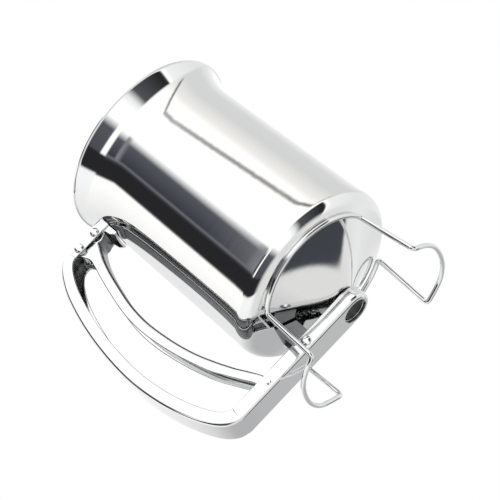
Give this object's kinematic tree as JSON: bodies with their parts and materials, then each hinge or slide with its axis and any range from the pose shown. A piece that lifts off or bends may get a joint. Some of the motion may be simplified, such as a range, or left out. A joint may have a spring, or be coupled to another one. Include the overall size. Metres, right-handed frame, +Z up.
{
  "type": "melting and pouring pot",
  "caption": "Polished steel melting pot with flared mouth, funnel bottom, channel handle, squeeze trigger that opens a bottom shutter, and a pull-off wire stand.",
  "frame": {"origin": "middle of the box's underside, on the table that the stand's feet stand on", "axes": "+Z up along the cup's axis, -X towards the handle, the stand's front arch towards -Y"},
  "size_m": [0.162, 0.1114, 0.1756],
  "materials": {
    "polished_steel": "mirror-polished stainless steel",
    "satin_steel": "satin stainless steel",
    "polished_wire": "polished stainless steel wire",
    "spring_wire": "drawn spring steel",
    "black_silicone": "matt food-grade silicone"
  },
  "bodies": {
    "pot": {"cup_body": "polished_steel", "outlet_ring": "satin_steel", "handle_strap": "polished_steel", "wall_bracket": "polished_steel", "cone_bracket": "polished_steel", "wall_rivet": "polished_steel", "bar_rivet_back": "polished_steel", "bar_rivet_front": "polished_steel", "pivot_pin": "polished_steel", "pivot_spacer_back": "satin_steel", "pivot_spacer_front": "satin_steel", "spring_stop": "satin_steel", "return_spring": "spring_wire"},
    "trigger": {"trigger_lever": "polished_steel"},
    "shutter": {"shutter_ring": "satin_steel", "shutter_seal": "black_silicone", "shutter_rod": "satin_steel", "link_pin": "satin_steel"},
    "stand": {"stand_wire": "polished_wire"}
  },
  "joints": [
    {"name": "trigger_hinge", "type": "hinge", "parent": "pot", "child": "trigger", "pos_m": [-0.045, 0, 0.1547], "axis": [0, 1, 0], "range_deg": [0, 7], "stiffness_Nm_per_rad": 2, "springref_deg": -8.59},
    {"name": "shutter_slide", "type": "slide", "parent": "pot", "child": "shutter", "axis": [-1, 0, 0], "range_m": [0, 0.01664], "deforming": ["return_spring"]},
    {"name": "stand_slide", "type": "slide", "parent": "pot", "child": "stand", "axis": [0, 0, -1], "range_m": [0, 0.034]}
  ],
  "couplings": [
    {"joint": "shutter_slide", "follows": "trigger_hinge", "m_per_rad": 0.13604}
  ]
}
